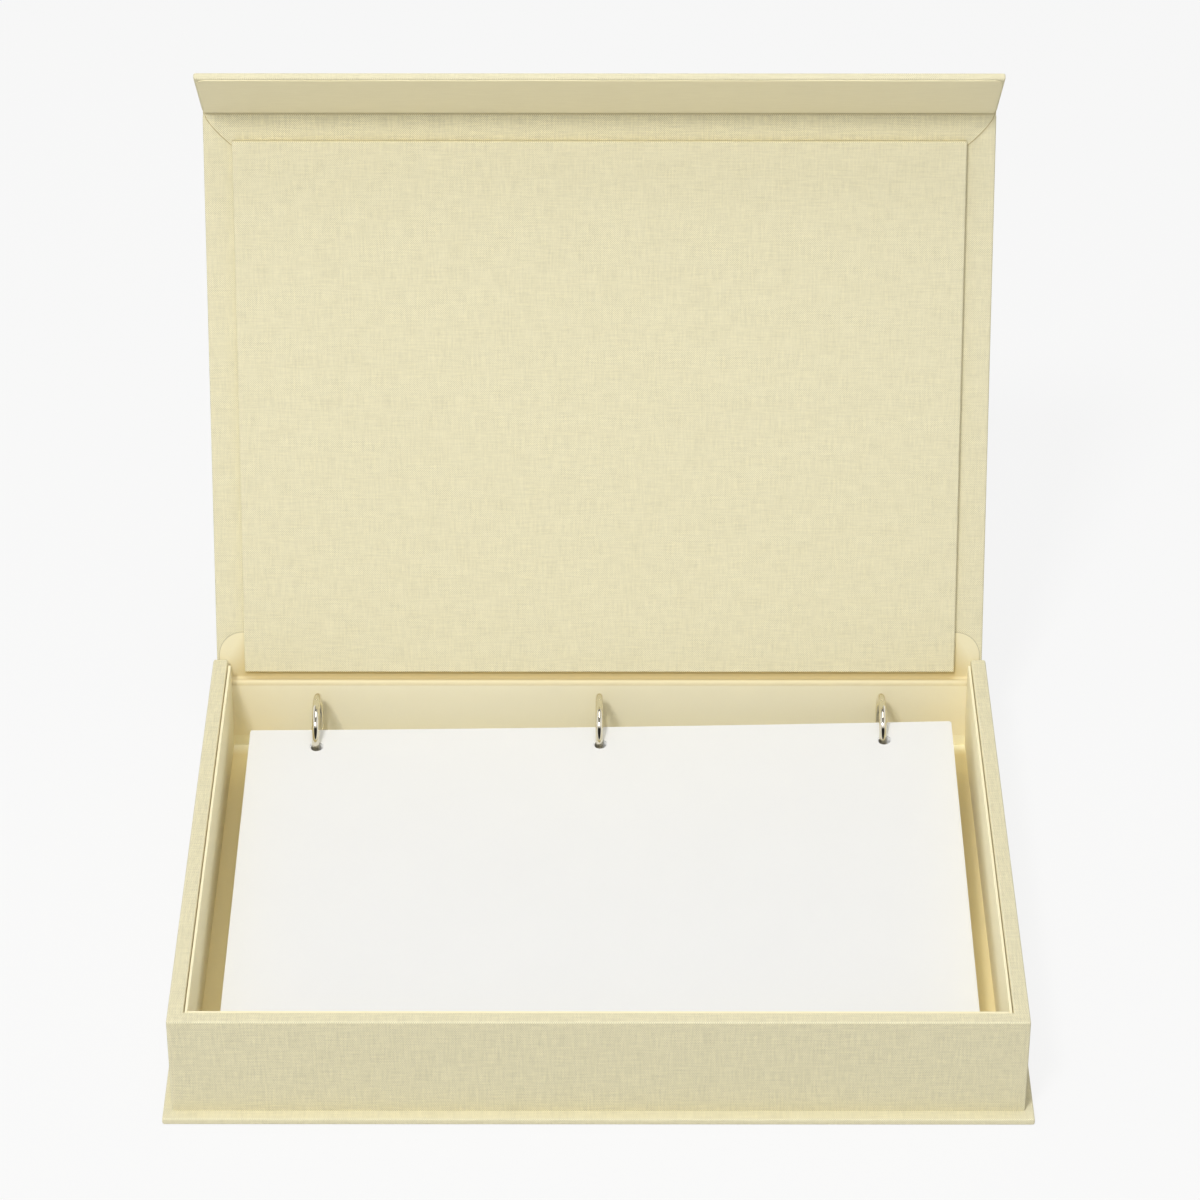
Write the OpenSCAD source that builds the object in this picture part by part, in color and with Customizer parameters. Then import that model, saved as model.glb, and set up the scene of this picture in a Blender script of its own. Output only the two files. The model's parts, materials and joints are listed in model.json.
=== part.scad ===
// Clamshell book box for A4 landscape pages, with three binder rings, a hinged
// lid and a folding front flap, standing open as photographed.
// X runs along the width, +Y runs from the front wall to the hinge, +Z is up.
// The origin is the centre of the base board's underside.

/* [Tray] */
// Width over the two side walls
tray_w = 330; // [328:1:345]
// Depth from the front wall's face to the rear ends of the side walls
tray_d = 245; // [245:1:250]
// Height of the rim above the table
rim_z = 47; // [47:0.5:56]
// Thickness of the board in the front and side walls
wall_board = 5.5; // [4:0.5:5.5]
// Thickness of the board in the rear wall
rear_board_t = 4.8; // [4:0.2:4.8]
// Height of the rear wall's board above the table
rear_top = 35.4; // [30:0.2:35.4]
// Radius of the top rear corner of each side wall
wall_round = 4.5; // [4.5:0.5:6]

/* [Base board] */
// How far the base board stands out beyond each side wall
side_square = 3.5; // [2:0.5:6]
// How far the base board stands out in front of the tray
front_square = 5; // [4.5:0.5:8]
// Thickness of the base board with its cloth
base_t = 3; // [2.6:0.1:3]

/* [Linings] */
// Thickness of the wall linings
lining_t = 1.4; // [1:0.1:1.5]
// Thickness of the floor lining
floor_t = 1.6; // [1:0.1:1.6]
// How far the wall linings end below the rim
lining_drop = 0.6; // [0.2:0.1:2]
// Thickness of the covering cloth
cloth_t = 0.35; // [0.3:0.05:0.35]

/* [Lid] */
// Width of the lid and the flap
lid_w = 328; // [320:1:330]
// Thickness of the lid with its cloth
lid_t = 3; // [2.6:0.1:3.4]
// Angle that the open lid leans back from upright
lid_lean = 17; // [0:1:17]
// Width of the raised panel inside the lid
panel_w = 304; // [290:1:306]
// Height of the raised panel above the lid's inner face
panel_t = 3; // [2:0.1:3.2]

/* [Flap] */
// Length of the flap from its hinge line to its free edge
flap_l = 42; // [37:1:42]
// Thickness of the flap without its lining
flap_t = 2.8; // [2.4:0.1:2.8]
// Angle that the flap is folded in from the lid's plane
flap_fold = 61; // [0:1:85]

/* [Rings] */
// Distance between neighbouring rings
ring_pitch = 120; // [100:1:125]
// Radius of a ring to the middle of its wire
ring_r = 14.25; // [13.75:0.25:14.25]
// Diameter of the ring wire
wire_d = 3; // [2.5:0.1:3]

/* [Pages] */
// Width of a page
page_w = 297; // [280:1:300]
// Depth of a page
page_d = 210; // [200:1:210]
// Thickness of the stack of pages below the top sheet
stack_t = 13.9; // [8:0.1:13.9]
// Thickness of the top sheet that can be lifted
sheet_t = 0.3; // [0.2:0.1:0.4]

/* [Hidden] */
$fn = 64;

cloth_colour = [0.91, 0.88, 0.74];
lining_colour = [0.93, 0.89, 0.72];
greyboard_colour = [0.55, 0.52, 0.48];
paper_colour = [0.95, 0.95, 0.93];
ring_colour = [0.80, 0.76, 0.62];
steel_colour = [0.72, 0.73, 0.74];
magnet_colour = [0.35, 0.36, 0.38];

// the tray's outline
half_w = tray_w / 2;
base_d = front_square + tray_d;
rear_y = base_d / 2;
front_y = rear_y - tray_d;
wall_t = wall_board + 2 * cloth_t;
board_top = rim_z - cloth_t;
inner_half = half_w - wall_t;
inner_front = front_y + wall_t;

// the base board's cloth turns in over the edges by this much
turn_in = 15;

// the rear wall stands between the side walls
rear_inner = rear_y - cloth_t - rear_board_t - cloth_t;

// linings stand a hair away from the walls, which leaves a dark crack
crack = 0.1;

// pieces that are glued end to end, and sheets that lie on each other, keep this much apart
seam = 0.02;
floor_z = base_t + floor_t;
lining_top = rim_z - lining_drop;
lining_face = inner_half - crack - lining_t;

// the rear strip ends above the floor
strip_foot = 9.6;

// the lid is drawn shut, then turned about its hinge line
lid_gap = 0.4;
lid_face = rim_z + lid_gap;
hinge_y = rear_y - 4.6;
hinge_z = lid_face - 6.2;
lid_tail = 2.8;
lid_turn = 90 + lid_lean;
lid_half = lid_w / 2;
lid_rear = hinge_y + lid_tail;

// the flap's hinge line, with the lid shut
flap_gap = 1.2;
joint_gap = 1;
flap_y = front_y - flap_gap;
flap_turn = 90 - flap_fold;
lining_card = 0.8;

// the raised panel
panel_half = panel_w / 2;
panel_front = flap_y + 11.5;
panel_rear = hinge_y + 0.35;

// cloth strips on the lid's inner face
strip_half = lid_half - 1;
rear_strip_side = 9.3;
rear_strip_round = 10.5;
front_strip_side = 1;
front_strip_end = 14.8;
front_strip_bulge = 1.1;

// hidden magnets that hold the flap to the front wall
magnet_r = 6;
magnet_t = 1.6;
magnet_x = 80;
magnet_drop = 30;

// the ring mechanism
ring_y = front_y + 221.8;
ring_z = 25;
wire_r = wire_d / 2;
cover_half_l = 137;
cover_half_w = 11;
cover_t = 0.8;
cover_top = 14.2;
cover_shoulder = 12.5;
cover_skirt = 9.5;
slot_half = 2.4;
slot_from = 3.4;
rivet_x = 130;
blade_half_l = 132;
blade_outer = 9.6;
blade_t = 1.2;
blade_z = 8.6;
split_gap = 0.5;
half_gap = 0.5;
peg_r = 1.2;
peg_at = 17;
peg_y = ring_r * sin(peg_at + 5);
peg_z = ring_z - ring_r * cos(peg_at + 5);

// the pages lean on the ring cover at the rear and on the floor in front
page_slope = 2.87;
page_rear = ring_y - 3.5;
page_rear_z = 29.1;
page_front = page_rear - page_d * cos(page_slope);
page_front_z = page_rear_z - page_d * sin(page_slope);
hole_r = 3;
hole_ring_r = ring_r + 1.2;
sheet_fan = 2.6;

// ---- points and turns in the YZ plane ----

function turned(p, a) = [p[0] * cos(a) - p[1] * sin(a), p[0] * sin(a) + p[1] * cos(a)];

// a point given with the lid shut, moved to where it stands with the lid open
function lid_at(p) = [hinge_y, hinge_z] + turned(p - [hinge_y, hinge_z], -lid_turn);

// a point given from the flap's hinge line, with the lid shut and the flap hanging
function flap_at(p) = lid_at([flap_y, lid_face] + turned(p, -flap_turn));

function on_curve(a, b, c, d, t) =
    pow(1 - t, 3) * a + 3 * t * pow(1 - t, 2) * b + 3 * t * t * (1 - t) * c + pow(t, 3) * d;
function slope_of(a, b, c, d, t) =
    pow(1 - t, 2) * (b - a) + 2 * t * (1 - t) * (c - b) + t * t * (d - c);
function right_of(v) = [v[1], -v[0]] / norm(v);

// a strip of cloth along a curve, with its thickness on the right of the way it runs
function ribbon(a, b, c, d, thick, steps = 10) = concat(
    [for (i = [0:steps]) on_curve(a, b, c, d, i / steps)],
    [for (i = [steps:-1:0])
        on_curve(a, b, c, d, i / steps) + thick * right_of(slope_of(a, b, c, d, i / steps))]
);

// points from a to b on a shallow curve that bulges to the right of the way it runs
function bulged(a, b, bulge, steps = 8) =
    [for (i = [0:steps]) a + (b - a) * i / steps
        + 4 * bulge * i / steps * (1 - i / steps) * right_of(b - a)];

// ---- shared shapes ----

// a box between two corners
module block(low, high) {
    translate(low) cube(high - low);
}

// a YZ outline carried along X, centred
module along_x(width) {
    rotate([90, 0, 90]) linear_extrude(height = width, center = true) children();
}

// a YZ rectangle with its top rear corner rounded
module round_backed(low, high, r) {
    translate(low) square(high - low - [r, 0]);
    translate(low) square(high - low - [0, r]);
    translate(high - [r, r]) circle(r);
}

// puts what is drawn for a shut lid where the open lid stands
module at_lid() {
    translate([0, hinge_y, hinge_z]) rotate([-lid_turn, 0, 0])
        translate([0, -hinge_y, -hinge_z]) children();
}

// puts what is drawn hanging from the flap's hinge line where the flap stands
module at_flap() {
    at_lid() translate([0, flap_y, lid_face]) rotate([-flap_turn, 0, 0]) children();
}

// ---- base ----

module base_solid(inset) {
    w = half_w + side_square - inset;
    block([-w, -rear_y + inset, inset], [w, rear_y - inset, base_t - inset]);
}

module base_board() {
    color(greyboard_colour) base_solid(cloth_t);
}

module base_cloth() {
    w = half_w + side_square - turn_in;
    d = rear_y - turn_in;
    color(cloth_colour) difference() {
        base_solid(0);
        base_solid(cloth_t);
        block([-w, -d, base_t / 2], [w, d, base_t + 1]);
    }
}

module floor_lining() {
    w = inner_half - crack;
    y = rear_inner - crack;
    color(lining_colour) difference() {
        union() {
            block([-w, inner_front + crack, base_t], [w, y, floor_z]);
            // turned up at the rear wall, as far as the hinge lining's lower edge
            block([-w, y, base_t], [w, rear_inner + cloth_t, strip_foot - seam]);
        }
        rivet_places(2.1);
    }
}

// ---- walls ----

// the space inside the front wall's cloth, down to a given height
module front_core(foot) {
    w = half_w - cloth_t;
    block([-w, front_y + cloth_t, foot], [w, inner_front - cloth_t, board_top]);
}

// the same in a side wall: side is -1 for the left one and 1 for the right one
module side_core(side, foot) {
    low = [inner_front - cloth_t, foot];
    high = [rear_y - cloth_t, board_top];
    translate([side * (half_w - wall_t / 2), 0, 0])
        along_x(wall_board) round_backed(low, high, wall_round - cloth_t);
}

module front_board() {
    color(greyboard_colour) difference() {
        front_core(base_t);
        wall_magnet_discs();
    }
}

module left_board() {
    color(greyboard_colour) side_core(-1, base_t);
}

module right_board() {
    color(greyboard_colour) side_core(1, base_t);
}

module rear_board() {
    w = inner_half;
    color(greyboard_colour)
        block([-w, rear_inner + cloth_t, base_t], [w, rear_y - cloth_t, rear_top]);
}

// one strip of cloth wraps the front and side walls and turns over the rim
module wall_cloth() {
    color(cloth_colour) difference() {
        union() {
            block([-half_w, front_y, base_t], [half_w, inner_front, rim_z]);
            for (side = [-1, 1])
                translate([side * (half_w - wall_t / 2), 0, 0])
                    along_x(wall_t) round_backed([front_y, base_t], [rear_y, rim_z], wall_round);
        }
        front_core(base_t - 1);
        side_core(-1, base_t - 1);
        side_core(1, base_t - 1);
    }
}

module spine_cloth() {
    color(cloth_colour)
        block([-inner_half, rear_y - cloth_t, base_t], [inner_half, rear_y, rear_top]);
}

// ---- linings ----

module front_lining() {
    y = inner_front + crack;
    color(lining_colour)
        block([-lining_face, y, floor_z], [lining_face, y + lining_t, lining_top]);
}

module side_lining(side) {
    low = [-lining_t / 2, inner_front + crack, floor_z];
    high = [lining_t / 2, rear_inner - crack, lining_top];
    color(lining_colour) translate([side * (lining_face + lining_t / 2), 0, 0]) block(low, high);
}

module left_lining() {
    side_lining(-1);
}

module right_lining() {
    side_lining(1);
}

// the hinge lining's part that is glued to the rear wall
module rear_strip() {
    w = inner_half - crack;
    color(lining_colour)
        block([-w, rear_inner, strip_foot], [w, rear_inner + cloth_t, rear_top]);
}

// ---- the lid's cloth hinge ----

// the lining's loose part crosses the crease from the rear wall to the lid
module lid_hinge_lining() {
    start = [rear_inner, rear_top + seam];
    end = lid_at([lid_rear + seam, lid_face - cloth_t]);
    before_end = lid_at([lid_rear + 0.8, lid_face - cloth_t]);
    color(lining_colour) along_x(2 * (inner_half - crack))
        polygon(ribbon(start, start + [0, 1.4], before_end, end, cloth_t));
}

// the outer cloth's loose part goes from the spine to the lid's outer face
module lid_hinge_cloth() {
    start = [rear_y + seam, rear_top - cloth_t];
    end = lid_at([lid_rear + seam, lid_face + lid_t]);
    before_end = lid_at([lid_rear + 1, lid_face + lid_t]);
    color(cloth_colour) along_x(2 * inner_half)
        polygon(ribbon(end, before_end, start + [1.3, 0], start, cloth_t));
}

// ---- lid ----

module lid_solid(inset) {
    w = lid_half - inset;
    block([-w, flap_y + joint_gap + inset, lid_face + inset],
          [w, lid_rear - inset, lid_face + lid_t - inset]);
}

module lid_board() {
    color(greyboard_colour) at_lid() lid_solid(cloth_t);
}

module lid_cloth() {
    w = lid_half - turn_in;
    color(cloth_colour) at_lid() difference() {
        lid_solid(0);
        lid_solid(cloth_t);
        block([-w, flap_y + turn_in, lid_face - 1], [w, lid_rear - turn_in, lid_face + lid_t / 2]);
    }
}

module panel_solid(inset) {
    w = panel_half - inset;
    block([-w, panel_front + inset, lid_face - panel_t + inset],
          [w, panel_rear - inset, lid_face]);
}

module panel_board() {
    color(greyboard_colour) at_lid() panel_solid(cloth_t);
}

module panel_cloth() {
    color(cloth_colour) at_lid() difference() {
        panel_solid(0);
        panel_solid(cloth_t);
    }
}

// the hinge lining's part on the lid, below the panel and beside it
module lid_strip() {
    y = lid_rear - rear_strip_side;
    round_x = strip_half - rear_strip_round;
    color(lining_colour) at_lid() translate([0, 0, lid_face - cloth_t])
        linear_extrude(height = cloth_t) difference() {
            union() {
                translate([-strip_half, y]) square([2 * strip_half, rear_strip_side]);
                translate([-round_x, y - rear_strip_round])
                    square([2 * round_x, rear_strip_round + 1]);
                for (side = [-1, 1])
                    translate([side * round_x, y]) circle(rear_strip_round);
            }
            translate([-panel_half, panel_front])
                square([panel_w, panel_rear - panel_front]);
            translate([-strip_half, lid_rear]) square([2 * strip_half, rear_strip_round]);
        }
}

// the flap hinge's inner cloth where it lies on the lid, cut round at both ends
module lid_front_strip() {
    y = flap_y + joint_gap;
    outer = [strip_half, y + front_strip_side];
    inner = [panel_half - 1, flap_y + front_strip_end];
    right_end = bulged(outer, inner, front_strip_bulge);
    left_end = [for (i = [len(right_end) - 1:-1:0]) [-right_end[i][0], right_end[i][1]]];
    color(cloth_colour) at_lid() translate([0, 0, lid_face - cloth_t])
        linear_extrude(height = cloth_t) difference() {
            polygon(concat([[-strip_half, y], [strip_half, y]], right_end, left_end));
            translate([-panel_half, panel_front])
                square([panel_w, panel_rear - panel_front]);
        }
}

// ---- flap ----

// the flap hinge's inner cloth crosses the fold
module flap_hinge_lining() {
    from = joint_gap - seam;
    start = lid_at([flap_y + from, lid_face - cloth_t]);
    after_start = lid_at([flap_y + from / 2, lid_face - cloth_t]);
    before_end = flap_at([cloth_t, -from / 2]);
    end = flap_at([cloth_t, -from]);
    color(cloth_colour) along_x(2 * strip_half)
        polygon(ribbon(start, after_start, before_end, end, cloth_t));
}

// the flap hinge's outer cloth
module flap_hinge_cloth() {
    from = joint_gap - seam;
    handle = 1.6;
    lid_side = lid_face + lid_t - cloth_t;
    flap_side = -flap_t + cloth_t;
    start = lid_at([flap_y + from, lid_side]);
    after_start = lid_at([flap_y + from - handle, lid_side]);
    before_end = flap_at([flap_side, handle - from]);
    end = flap_at([flap_side, -from]);
    color(cloth_colour) along_x(lid_w)
        polygon(ribbon(start, after_start, before_end, end, cloth_t));
}

module flap_solid(inset) {
    w = lid_half - inset;
    block([-w, -flap_t + inset, -flap_l + inset], [w, -inset, -joint_gap - inset]);
}

module flap_magnet_discs() {
    for (side = [-1, 1])
        translate([side * magnet_x, -cloth_t, -magnet_drop])
            rotate([90, 0, 0]) cylinder(r = magnet_r, h = magnet_t);
}

module flap_board() {
    color(greyboard_colour) at_flap() difference() {
        flap_solid(cloth_t);
        flap_magnet_discs();
    }
}

module flap_cloth() {
    color(cloth_colour) at_flap() difference() {
        flap_solid(0);
        flap_solid(cloth_t);
    }
}

module flap_lining() {
    r = 3;
    low = -flap_l + 0.6;
    color(lining_colour) at_flap() rotate([90, 0, 0]) translate([0, 0, -lining_card])
        linear_extrude(height = lining_card) union() {
            translate([-strip_half, low + r]) square([2 * strip_half, -joint_gap - low - r]);
            translate([-strip_half + r, low]) square([2 * (strip_half - r), r + 1]);
            for (side = [-1, 1])
                translate([side * (strip_half - r), low + r]) circle(r);
        }
}

module flap_magnets() {
    color(magnet_colour) at_flap() flap_magnet_discs();
}

module wall_magnet_discs() {
    for (side = [-1, 1])
        translate([side * magnet_x, front_y + cloth_t, lid_face - magnet_drop])
            rotate([-90, 0, 0]) cylinder(r = magnet_r, h = magnet_t);
}

module wall_magnets() {
    color(magnet_colour) wall_magnet_discs();
}

// ---- ring mechanism ----

module cover_outline(inset) {
    top = cover_top - inset;
    half = cover_half_w - inset;
    polygon([
        [-half, floor_z], [-half, cover_skirt], [-half + 1.5, cover_shoulder - inset / 2],
        [-5, top], [5, top],
        [half - 1.5, cover_shoulder - inset / 2], [half, cover_skirt], [half, floor_z]
    ]);
}

module rivet_places(r) {
    for (side = [-1, 1])
        translate([side * rivet_x, ring_y, 0]) cylinder(r = r, h = cover_top + 1);
}

module ring_cover() {
    color(steel_colour) difference() {
        translate([0, ring_y, 0]) difference() {
            along_x(2 * cover_half_l) cover_outline(0);
            along_x(2 * cover_half_l + 2) difference() {
                cover_outline(cover_t);
                translate([-cover_half_w, floor_z - 1]) square([2 * cover_half_w, 1]);
            }
            for (i = [-1, 0, 1], side = [-1, 1])
                translate([i * ring_pitch, side * (slot_from + cover_half_w), 0])
                    block([-slot_half, -cover_half_w, blade_z - 0.6],
                          [slot_half, cover_half_w, cover_top + 1]);
        }
        rivet_places(2.1);
    }
}

module ring_rivets() {
    color(steel_colour) for (side = [-1, 1])
        translate([side * rivet_x, ring_y, 0]) {
            translate([0, 0, base_t]) cylinder(r = 2, h = cover_top - base_t);
            translate([0, 0, cover_top]) cylinder(r = 3.8, h = 0.7);
        }
}

// side is -1 for the front blade and 1 for the rear one
module blade(side) {
    inner = split_gap / 2;
    color(steel_colour) translate([0, ring_y, blade_z]) difference() {
        translate([0, side * (blade_outer + inner) / 2, blade_t / 2])
            cube([2 * blade_half_l, blade_outer - inner, blade_t], center = true);
        for (end = [-1, 1])
            translate([end * rivet_x, 0, -1]) cylinder(r = 3.2, h = blade_t + 2);
    }
}

module front_blade() {
    blade(-1);
}

module rear_blade() {
    blade(1);
}

// half of the ring at place i, riveted to its blade by a short peg
module ring_half(i, side) {
    sweep = 180 - peg_at - half_gap;
    color(ring_colour) translate([i * ring_pitch, ring_y, 0]) {
        translate([0, 0, ring_z]) rotate([0, 0, side * 90]) rotate([90, 0, 0])
            rotate([0, 0, -90 + peg_at]) rotate_extrude(angle = sweep)
                translate([ring_r, 0]) circle(wire_r);
        translate([0, side * peg_y, blade_z + blade_t])
            cylinder(r = peg_r, h = peg_z - blade_z - blade_t);
    }
}

module front_ring_left() {
    ring_half(-1, -1);
}

module front_ring_middle() {
    ring_half(0, -1);
}

module front_ring_right() {
    ring_half(1, -1);
}

module rear_ring_left() {
    ring_half(-1, 1);
}

module rear_ring_middle() {
    ring_half(0, 1);
}

module rear_ring_right() {
    ring_half(1, 1);
}

// ---- pages ----

// the holes follow the rings, so that each sheet can slide along them
module page_holes() {
    for (i = [-1, 0, 1])
        translate([i * ring_pitch, ring_y, ring_z]) rotate([0, 90, 0])
            rotate_extrude() translate([hole_ring_r, 0]) circle(hole_r);
}

// the rear edge of the sheet at a given depth: the rings fan the lower sheets out
function sheet_rear(depth) = [page_rear, page_rear_z - depth]
    + sheet_fan * pow(depth / stack_t, 2) * [cos(page_slope), sin(page_slope)];

// YZ outline of the sheets between two depths below the page's top face
module page_outline(from, to) {
    polygon([
        [page_front, page_front_z - from], sheet_rear(from),
        sheet_rear(to), [page_front, page_front_z - to]
    ]);
}

module page_stack() {
    color(paper_colour) difference() {
        along_x(page_w) page_outline(sheet_t + seam, stack_t);
        page_holes();
    }
}

module top_page() {
    color(paper_colour) difference() {
        along_x(page_w) page_outline(0, sheet_t);
        page_holes();
    }
}

base_board();
base_cloth();
floor_lining();
front_board();
left_board();
right_board();
rear_board();
wall_cloth();
spine_cloth();
front_lining();
left_lining();
right_lining();
rear_strip();
lid_hinge_lining();
lid_hinge_cloth();
lid_board();
lid_cloth();
panel_board();
panel_cloth();
lid_strip();
lid_front_strip();
flap_hinge_lining();
flap_hinge_cloth();
flap_board();
flap_cloth();
flap_lining();
flap_magnets();
wall_magnets();
ring_cover();
ring_rivets();
front_blade();
rear_blade();
front_ring_left();
front_ring_middle();
front_ring_right();
rear_ring_left();
rear_ring_middle();
rear_ring_right();
page_stack();
top_page();
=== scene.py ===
# %% [markdown]
# # A clamshell book box for loose pages
#
# The box is a low tray on a base board, a lid on a cloth hinge and a narrow flap that folds
# over the front. Inside are three binder rings and a pile of A4 pages, laid sideways.
# The measured model comes in first and says where everything is. Then each covering,
# lining, ring and page is modelled again with the softness that cloth and paper have.

# %% The measured model comes in
import json
import math
import random

import bmesh
import bpy
from mathutils import Matrix, Vector

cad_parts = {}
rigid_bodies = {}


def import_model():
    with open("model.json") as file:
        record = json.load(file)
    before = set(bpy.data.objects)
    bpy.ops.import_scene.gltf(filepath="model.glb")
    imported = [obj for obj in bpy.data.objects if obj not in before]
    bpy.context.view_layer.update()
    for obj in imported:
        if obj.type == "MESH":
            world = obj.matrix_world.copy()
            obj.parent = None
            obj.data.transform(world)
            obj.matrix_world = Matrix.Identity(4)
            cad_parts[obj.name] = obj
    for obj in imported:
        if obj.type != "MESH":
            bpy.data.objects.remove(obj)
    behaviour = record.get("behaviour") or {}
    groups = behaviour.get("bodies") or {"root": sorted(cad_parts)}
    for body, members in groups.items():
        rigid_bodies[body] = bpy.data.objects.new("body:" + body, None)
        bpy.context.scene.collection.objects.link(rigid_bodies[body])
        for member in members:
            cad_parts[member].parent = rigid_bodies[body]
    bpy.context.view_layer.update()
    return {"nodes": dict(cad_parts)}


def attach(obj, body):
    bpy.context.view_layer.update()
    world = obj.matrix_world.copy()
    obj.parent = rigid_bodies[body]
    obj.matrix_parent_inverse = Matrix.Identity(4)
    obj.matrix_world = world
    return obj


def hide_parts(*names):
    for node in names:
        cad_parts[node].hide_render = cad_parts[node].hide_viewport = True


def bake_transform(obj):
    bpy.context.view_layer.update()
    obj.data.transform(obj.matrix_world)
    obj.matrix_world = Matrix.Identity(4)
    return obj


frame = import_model()
print("nodes from the measured model:", len(frame["nodes"]))

# %% [markdown]
# ## The camera
#
# The photograph is taken from the front, about a third of the way up, with a long lens, so
# upright lines stay nearly upright. Lens and place were worked out from the corners of the
# tray and the lid in the photograph. A camera can be aimed by eye, but worked out like this
# it lets every later difference be blamed on a shape and not on the view.

# %% The camera stands where the photographer stood
MM = 0.001
bpy.ops.object.select_all(action="DESELECT")
bpy.ops.object.camera_add(location=(0.00268, -1.40595, 1.10656))
camera = bpy.context.active_object
look_down = Matrix.Rotation(math.radians(56.06), 3, "X")
look_right = Matrix.Rotation(math.radians(0.09), 3, "Z")
lean_right = Matrix.Rotation(math.radians(-0.02), 3, "Z")
camera.rotation_euler = (look_right @ look_down @ lean_right).to_euler()
camera.data.sensor_width = 36
camera.data.lens = 130.53
bpy.context.scene.camera = camera
bpy.context.scene.view_settings.view_transform = "Standard"
print("camera lens in mm:", round(camera.data.lens, 1))

# %% [markdown]
# ## Sizes
#
# These are the sizes that several pieces share, in millimetres, as the measured model has
# them. The lid is easiest to build lying shut on the tray, where its sides are straight,
# and is then swung open about its hinge line. The flap is built hanging from the lid's edge
# and folded in first. The same two turns also give single points on the open lid.

# %% Sizes shared by several pieces
HALF_W = 165
FRONT_Y = -120
REAR_Y = 125
RIM_Z = 47
WALL_T = 6.2
CLOTH_T = 0.35
BASE_T = 3
REAR_INNER = 119.5
REAR_TOP = 35.4
LID_HALF = 164
LID_FACE = 47.4
LID_T = 3
HINGE = (120.4, 41.2)
LID_REAR = 123.2
LID_TURN = 107
FLAP_Y = -121.2
FLAP_TURN = 29
STRIP_HALF = 163
PANEL_HALF = 152
PANEL_FRONT = -109.7
PANEL_REAR = 120.75
ROUND = 0.8


def turned(point, angle):
    """A point in the YZ plane turned about the origin, from +Y towards +Z."""
    c = math.cos(math.radians(angle))
    s = math.sin(math.radians(angle))
    return (point[0] * c - point[1] * s, point[0] * s + point[1] * c)


def lid_at(y, z):
    """Where a point of the shut lid stands once the lid is open."""
    p = turned((y - HINGE[0], z - HINGE[1]), -LID_TURN)
    return (HINGE[0] + p[0], HINGE[1] + p[1])


def flap_at(y, z):
    """Where a point given from the flap's hinge line stands once flap and lid are open."""
    p = turned((y, z), -FLAP_TURN)
    return lid_at(FLAP_Y + p[0], LID_FACE + p[1])


print("open lid, lower inner edge (y, z):", lid_at(LID_REAR, LID_FACE))
print("open flap, hinge line (y, z):", flap_at(0, 0))

# %% [markdown]
# ## Picking up and choosing
#
# Blender's tools act on whatever is selected. So every step first puts everything down,
# picks up one piece, and then chooses faces or edges by where they lie and which way they
# face. Choosing in code does what clicking does by hand, and it does the same every time.

# %% Picking up a piece and choosing its faces and edges
SHARP = math.radians(40)


def put_down():
    """Leaves edit mode and deselects everything."""
    if bpy.context.mode != "OBJECT":
        bpy.ops.object.mode_set(mode="OBJECT")
    bpy.ops.object.select_all(action="DESELECT")


def pick_up(piece):
    """Selects one piece and nothing else."""
    put_down()
    piece.select_set(True)
    bpy.context.view_layer.objects.active = piece


def edit(piece, what):
    """Goes into edit mode with nothing selected; what is VERT, EDGE or FACE."""
    pick_up(piece)
    bpy.ops.object.mode_set(mode="EDIT")
    bpy.ops.mesh.select_mode(type=what)
    bpy.ops.mesh.select_all(action="DESELECT")
    return bmesh.from_edit_mesh(piece.data)


def choose_faces(piece, wanted):
    """Selects the faces for which wanted(middle, normal) holds."""
    for face in edit(piece, "FACE").faces:
        if wanted(face.calc_center_median() / MM, face.normal):
            face.select_set(True)
    bmesh.update_edit_mesh(piece.data)


def choose_edges(piece, wanted):
    """Selects the edges for which wanted(one end, other end) holds."""
    for edge in edit(piece, "EDGE").edges:
        if wanted(edge.verts[0].co / MM, edge.verts[1].co / MM):
            edge.select_set(True)
    bmesh.update_edit_mesh(piece.data)


def choose_sharp(piece, wanted):
    """Selects the edges that turn by more than SHARP and for which wanted holds."""
    for edge in edit(piece, "EDGE").edges:
        sharp = len(edge.link_faces) == 2 and edge.calc_face_angle() > SHARP
        if sharp and wanted(edge.verts[0].co / MM, edge.verts[1].co / MM):
            edge.select_set(True)
    bmesh.update_edit_mesh(piece.data)


def choose_corners(piece, wanted):
    """Selects the corner points for which wanted(point) holds."""
    for corner in edit(piece, "VERT").verts:
        if wanted(corner.co / MM):
            corner.select_set(True)
    bmesh.update_edit_mesh(piece.data)


def anywhere(a, b):
    """Holds for every edge, and for every face."""
    return True


def cut_across(piece, place, direction, **settings):
    """Cuts all of a piece along a plane through a place given in millimetres."""
    choose_faces(piece, anywhere)
    at = [x * MM for x in place]
    bpy.ops.mesh.bisect(plane_co=at, plane_no=direction, **settings)


# %% [markdown]
# ## Starting, rounding and turning
#
# Most of the box is board, so most pieces start as a block. What makes them look like cloth
# over board is that no edge is knife sharp: cloth pulled over a board edge bends at a radius
# of well under a millimetre. The rounded faces are also marked as rubbed, because the edges
# of a book box are where hands and shelves polish the cloth first, and the cloth's material
# can read that mark.

# %% A block and a sheet


def new_piece(name):
    """Names the primitive just added, and its place, turn and size go into its mesh."""
    piece = bpy.context.active_object
    piece.name = name
    piece.data.name = name
    bpy.ops.object.transform_apply(location=True, rotation=True, scale=True)
    return piece


def block(name, low, high):
    """A block between two corners given in millimetres."""
    put_down()
    middle = [(a + b) / 2 * MM for a, b in zip(low, high)]
    size = [(b - a) * MM for a, b in zip(low, high)]
    bpy.ops.mesh.primitive_cube_add(size=1, location=middle, scale=size)
    return new_piece(name)


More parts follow.
